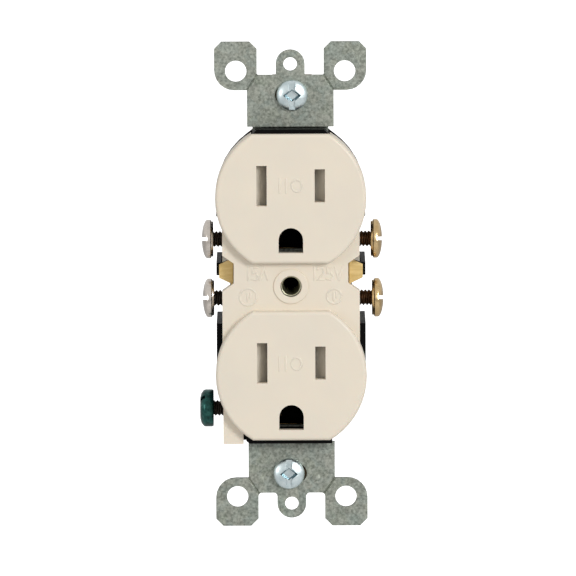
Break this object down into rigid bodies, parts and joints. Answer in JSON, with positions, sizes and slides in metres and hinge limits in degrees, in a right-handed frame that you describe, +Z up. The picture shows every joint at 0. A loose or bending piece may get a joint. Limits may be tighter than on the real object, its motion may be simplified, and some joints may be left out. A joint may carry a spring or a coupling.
{
  "type": "duplex wall outlet",
  "caption": "Wall outlet with two raised faces on a steel strap, side wiring screws, captive mounting screws and sprung shutters behind the blade slots.",
  "frame": {"origin": "middle of the strap, on the wall plane that the backs of its ears rest on", "axes": "+Z up along the strap, +Y into the wall, +X to the right seen from the front"},
  "size_m": [0.0401, 0.0273, 0.1066],
  "materials": {
    "light_almond_plastic": "satin moulded",
    "black_plastic": "satin moulded",
    "galvanised_steel": "dull mottled zinc coating",
    "bright_zinc": "bright bluish zinc plate",
    "nickel_plate": "bright nickel plate",
    "brass_screw": "bright",
    "contact_brass": "plain rolled",
    "green_lacquer": "translucent dark green over zinc",
    "spring_steel": "plain",
    "shutter_plastic": "plain moulded",
    "fibre": "plain"
  },
  "bodies": {
    "outlet_body": {"assembly_screw_bottom": "bright_zinc", "assembly_screw_top": "bright_zinc", "back_body": "black_plastic", "centre_eyelet": "nickel_plate", "front_cover": "light_almond_plastic", "ground_clip_bottom": "contact_brass", "ground_clip_top": "contact_brass", "ground_rivet_bottom": "nickel_plate", "ground_rivet_top": "nickel_plate", "hot_contact_strip": "contact_brass", "mounting_strap": "galvanised_steel", "neutral_contact_strip": "contact_brass", "shutter_spring_bottom_hot": "spring_steel", "shutter_spring_bottom_neutral": "spring_steel", "shutter_spring_top_hot": "spring_steel", "shutter_spring_top_neutral": "spring_steel", "shutter_tray_bottom": "black_plastic", "shutter_tray_top": "black_plastic", "wire_clip_hot_bottom": "spring_steel", "wire_clip_hot_top": "spring_steel", "wire_clip_neutral_bottom": "spring_steel", "wire_clip_neutral_top": "spring_steel"},
    "shutter_top_neutral": {"shutter_top_neutral": "shutter_plastic"},
    "shutter_top_hot": {"shutter_top_hot": "shutter_plastic"},
    "shutter_bottom_neutral": {"shutter_bottom_neutral": "shutter_plastic"},
    "shutter_bottom_hot": {"shutter_bottom_hot": "shutter_plastic"},
    "terminal_screw_neutral_top": {"terminal_screw_neutral_top": "nickel_plate"},
    "terminal_screw_neutral_bottom": {"terminal_screw_neutral_bottom": "nickel_plate"},
    "terminal_screw_hot_top": {"terminal_screw_hot_top": "brass_screw"},
    "terminal_screw_hot_bottom": {"terminal_screw_hot_bottom": "brass_screw"},
    "ground_screw": {"ground_screw": "green_lacquer"},
    "retaining_washer_top": {"retaining_washer_top": "fibre"},
    "mounting_screw_top": {"mounting_screw_top": "bright_zinc"},
    "retaining_washer_bottom": {"retaining_washer_bottom": "fibre"},
    "mounting_screw_bottom": {"mounting_screw_bottom": "bright_zinc"}
  },
  "joints": [
    {"name": "shutter_top_neutral_slide", "type": "slide", "parent": "outlet_body", "child": "shutter_top_neutral", "axis": [-1, 0, 0], "range_m": [0, 0.0028], "stiffness_N_per_m": 80, "springref_m": -0.001, "deforming": ["shutter_spring_top_neutral"]},
    {"name": "shutter_top_hot_slide", "type": "slide", "parent": "outlet_body", "child": "shutter_top_hot", "axis": [1, 0, 0], "range_m": [0, 0.0028], "stiffness_N_per_m": 80, "springref_m": -0.001, "deforming": ["shutter_spring_top_hot"]},
    {"name": "shutter_bottom_neutral_slide", "type": "slide", "parent": "outlet_body", "child": "shutter_bottom_neutral", "axis": [-1, 0, 0], "range_m": [0, 0.0028], "stiffness_N_per_m": 80, "springref_m": -0.001, "deforming": ["shutter_spring_bottom_neutral"]},
    {"name": "shutter_bottom_hot_slide", "type": "slide", "parent": "outlet_body", "child": "shutter_bottom_hot", "axis": [1, 0, 0], "range_m": [0, 0.0028], "stiffness_N_per_m": 80, "springref_m": -0.001, "deforming": ["shutter_spring_bottom_hot"]},
    {"name": "terminal_screw_neutral_top_travel", "type": "slide", "parent": "outlet_body", "child": "terminal_screw_neutral_top", "axis": [1, 0, 0], "range_m": [0, 0.0036]},
    {"name": "terminal_screw_neutral_bottom_travel", "type": "slide", "parent": "outlet_body", "child": "terminal_screw_neutral_bottom", "axis": [1, 0, 0], "range_m": [0, 0.00345]},
    {"name": "terminal_screw_hot_top_travel", "type": "slide", "parent": "outlet_body", "child": "terminal_screw_hot_top", "axis": [-1, 0, 0], "range_m": [0, 0.0041]},
    {"name": "terminal_screw_hot_bottom_travel", "type": "slide", "parent": "outlet_body", "child": "terminal_screw_hot_bottom", "axis": [-1, 0, 0], "range_m": [0, 0.00435]},
    {"name": "ground_screw_travel", "type": "slide", "parent": "outlet_body", "child": "ground_screw", "axis": [1, 0, 0], "range_m": [0, 0.0026]},
    {"name": "retaining_washer_top_slide", "type": "slide", "parent": "outlet_body", "child": "retaining_washer_top", "axis": [1, 0, 0], "range_m": [-0.0019, 0.0011]},
    {"name": "mounting_screw_top_travel", "type": "slide", "parent": "retaining_washer_top", "child": "mounting_screw_top", "axis": [0, -1, 0], "range_m": [0, 0.012]},
    {"name": "retaining_washer_bottom_slide", "type": "slide", "parent": "outlet_body", "child": "retaining_washer_bottom", "axis": [1, 0, 0], "range_m": [-0.0009, 0.0021]},
    {"name": "mounting_screw_bottom_travel", "type": "slide", "parent": "retaining_washer_bottom", "child": "mounting_screw_bottom", "axis": [0, -1, 0], "range_m": [0, 0.012]}
  ],
  "couplings": [
    {"joint": "shutter_top_hot_slide", "follows": "shutter_top_neutral_slide", "ratio": 1},
    {"joint": "shutter_bottom_hot_slide", "follows": "shutter_bottom_neutral_slide", "ratio": 1}
  ]
}
